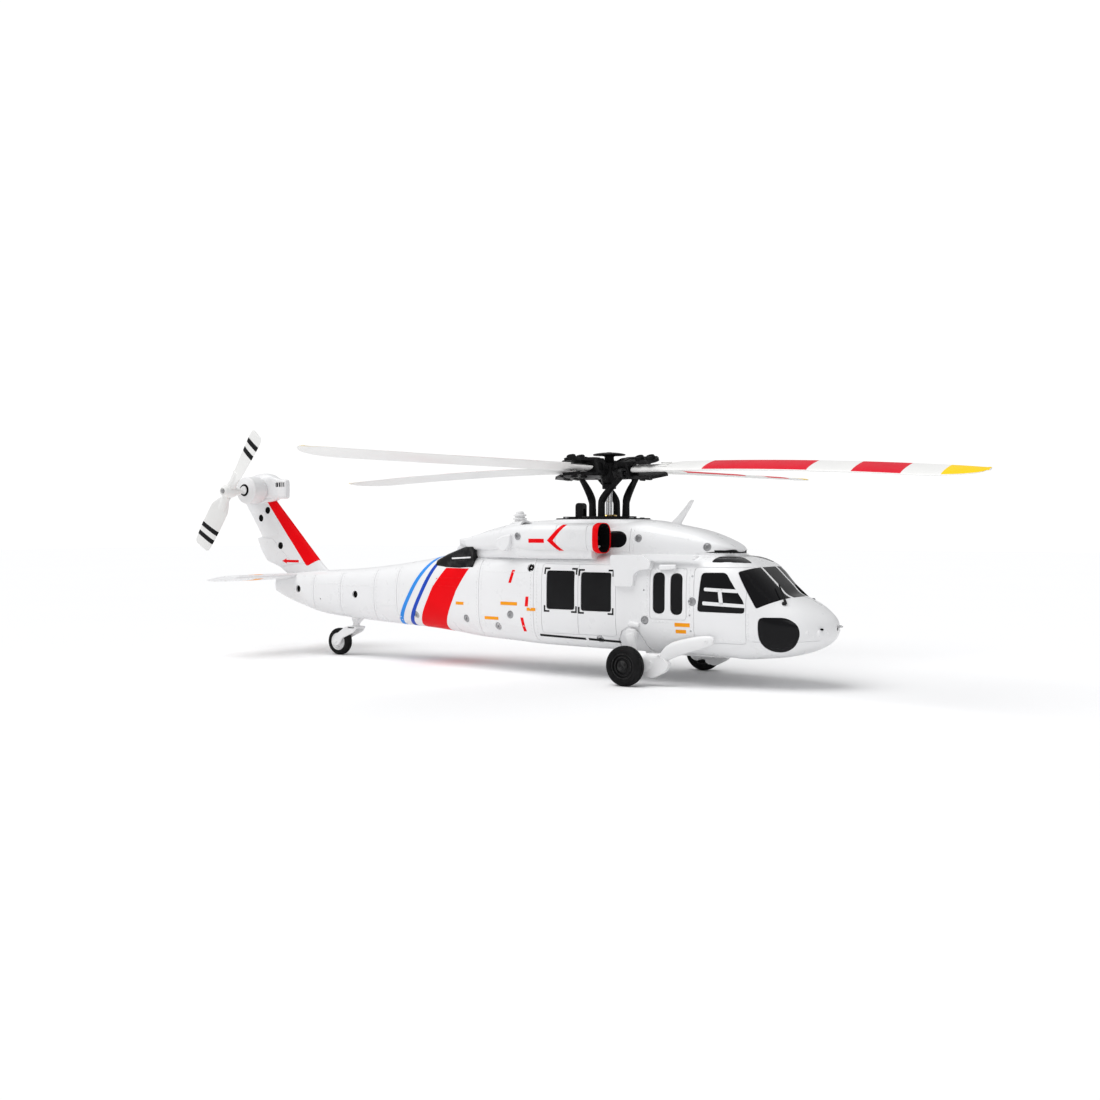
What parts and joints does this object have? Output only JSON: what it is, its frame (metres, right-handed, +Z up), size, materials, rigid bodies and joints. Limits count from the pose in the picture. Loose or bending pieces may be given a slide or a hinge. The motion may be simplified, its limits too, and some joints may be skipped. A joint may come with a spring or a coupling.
{
  "type": "scale model helicopter",
  "caption": "Radio-controlled scale model of a twin-engined transport helicopter with a four-blade main rotor, a canted-fin tail rotor and fixed wheels.",
  "frame": {"origin": "on the ground, under the middle of the whole outline", "axes": "+X forwards to the nose, +Y to port, +Z up"},
  "size_m": [0.4107, 0.3458, 0.115],
  "materials": {
    "body_white": "satin moulded",
    "glazing_black": "polished",
    "nylon_black": "satin moulded",
    "blade_white": "smooth, with painted bands on the top",
    "intake_red": "painted",
    "tyre_black": "matte rubber",
    "steel": "ground",
    "brass": "turned",
    "battery_wrap": "shrink film",
    "board_green": "lacquered circuit board"
  },
  "bodies": {
    "airframe": {"fuselage_right": "body_white", "fuselage_left": "body_white", "upper_cowling": "body_white", "engine_cowl_right": "body_white", "engine_cowl_left": "body_white", "tail_fin": "body_white", "tail_pod": "body_white", "stabilator": "body_white", "shock_strut_right": "body_white", "shock_strut_left": "body_white", "drag_beam_right": "body_white", "drag_beam_left": "body_white", "tail_strut": "body_white", "tail_motor": "body_white", "windshield": "glazing_black", "cockpit_window_right": "glazing_black", "cockpit_window_left": "glazing_black", "chin_window_right": "glazing_black", "chin_window_left": "glazing_black", "side_glazing_right": "glazing_black", "side_glazing_left": "glazing_black", "deck_plate": "nylon_black", "chassis": "nylon_black", "servo_rear": "nylon_black", "servo_front_left": "nylon_black", "servo_front_right": "nylon_black", "intake_ring_right": "intake_red", "intake_ring_left": "intake_red", "main_motor": "steel", "battery": "battery_wrap", "flight_controller": "board_green"},
    "rotor": {"mast": "steel", "main_gear": "nylon_black", "rotor_head": "nylon_black"},
    "swash_lower": {"swash_lower": "nylon_black", "swash_ball": "brass"},
    "swash_upper": {"swash_upper": "nylon_black", "pitch_link_nose": "nylon_black", "pitch_link_port": "nylon_black", "pitch_link_tail": "nylon_black", "pitch_link_starboard": "nylon_black"},
    "feather_nose": {"grip_nose": "nylon_black", "blade_nose": "blade_white"},
    "feather_port": {"grip_port": "nylon_black", "blade_port": "blade_white"},
    "feather_tail": {"grip_tail": "nylon_black", "blade_tail": "blade_white"},
    "feather_starboard": {"grip_starboard": "nylon_black", "blade_starboard": "blade_white"},
    "pinion": {"pinion": "brass"},
    "servo_arm_rear": {"servo_arm_rear": "body_white"},
    "servo_arm_front_left": {"servo_arm_front_left": "body_white"},
    "servo_arm_front_right": {"servo_arm_front_right": "body_white"},
    "tail_rotor": {"tail_rotor": "blade_white"},
    "wheel_right": {"main_wheel_right": "tyre_black"},
    "wheel_left": {"main_wheel_left": "tyre_black"},
    "tail_fork": {"tail_fork": "body_white"},
    "tail_wheel": {"tail_wheel": "tyre_black"},
    "battery_hatch": {"battery_hatch": "body_white"}
  },
  "joints": [
    {"name": "main_rotor_spin", "type": "hinge", "parent": "airframe", "child": "rotor", "pos_m": [0.0325, 0, 0.0913], "axis": [0, 0, 1], "continuous": true},
    {"name": "collective", "type": "slide", "parent": "airframe", "child": "swash_lower", "axis": [0, 0, 1], "range_m": [0, 0.003]},
    {"name": "swash_upper_lift", "type": "slide", "parent": "rotor", "child": "swash_upper", "axis": [0, 0, 1], "range_m": [0, 0.003]},
    {"name": "feather_nose", "type": "hinge", "parent": "rotor", "child": "feather_nose", "pos_m": [0.0325, 0, 0.0913], "axis": [-0.9877, 0.1564, 0], "range_deg": [0, 25]},
    {"name": "feather_port", "type": "hinge", "parent": "rotor", "child": "feather_port", "pos_m": [0.0325, 0, 0.0913], "axis": [-0.1564, -0.9877, 0], "range_deg": [0, 25]},
    {"name": "feather_tail", "type": "hinge", "parent": "rotor", "child": "feather_tail", "pos_m": [0.0325, 0, 0.0913], "axis": [0.9877, -0.1564, 0], "range_deg": [0, 25]},
    {"name": "feather_starboard", "type": "hinge", "parent": "rotor", "child": "feather_starboard", "pos_m": [0.0325, 0, 0.0913], "axis": [0.1564, 0.9877, 0], "range_deg": [0, 25]},
    {"name": "pinion_spin", "type": "hinge", "parent": "airframe", "child": "pinion", "pos_m": [0.04887, 0, 0.0295], "axis": [0, 0, 1], "continuous": true},
    {"name": "servo_arm_rear", "type": "hinge", "parent": "airframe", "child": "servo_arm_rear", "pos_m": [0.0142, -0.0009, 0.046], "axis": [0, -1, 0], "range_deg": [0, 20]},
    {"name": "servo_arm_front_left", "type": "hinge", "parent": "airframe", "child": "servo_arm_front_left", "pos_m": [0.04605, 0.00913, 0.046], "axis": [0, 1, 0], "range_deg": [0, 20]},
    {"name": "servo_arm_front_right", "type": "hinge", "parent": "airframe", "child": "servo_arm_front_right", "pos_m": [0.04605, -0.00913, 0.046], "axis": [0, 1, 0], "range_deg": [0, 20]},
    {"name": "tail_rotor_spin", "type": "hinge", "parent": "airframe", "child": "tail_rotor", "pos_m": [-0.1815, -0.0255, 0.084], "axis": [0, 1, 0], "continuous": true},
    {"name": "wheel_right_roll", "type": "hinge", "parent": "airframe", "child": "wheel_right", "pos_m": [0.0615, -0.036, 0.00835], "axis": [0, 1, 0], "continuous": true},
    {"name": "wheel_left_roll", "type": "hinge", "parent": "airframe", "child": "wheel_left", "pos_m": [0.0615, 0.036, 0.00835], "axis": [0, 1, 0], "continuous": true},
    {"name": "tail_wheel_swivel", "type": "hinge", "parent": "airframe", "child": "tail_fork", "pos_m": [-0.117, 0, 0.015], "axis": [0, 0, 1], "continuous": true},
    {"name": "tail_wheel_roll", "type": "hinge", "parent": "tail_fork", "child": "tail_wheel", "pos_m": [-0.128, 0, 0.00685], "axis": [0, 1, 0], "continuous": true},
    {"name": "hatch_release", "type": "slide", "parent": "airframe", "child": "battery_hatch", "axis": [0, 0, -1], "range_m": [0, 0.008]}
  ],
  "couplings": [
    {"joint": "swash_upper_lift", "follows": "collective", "ratio": 1},
    {"joint": "feather_nose", "follows": "collective", "rad_per_m": 144.93},
    {"joint": "feather_port", "follows": "collective", "rad_per_m": 144.93},
    {"joint": "feather_tail", "follows": "collective", "rad_per_m": 144.93},
    {"joint": "feather_starboard", "follows": "collective", "rad_per_m": 144.93},
    {"joint": "pinion_spin", "follows": "main_rotor_spin", "ratio": -4},
    {"joint": "servo_arm_rear", "follows": "collective", "rad_per_m": 113.64},
    {"joint": "servo_arm_front_left", "follows": "collective", "rad_per_m": 113.64},
    {"joint": "servo_arm_front_right", "follows": "collective", "rad_per_m": 113.64}
  ]
}
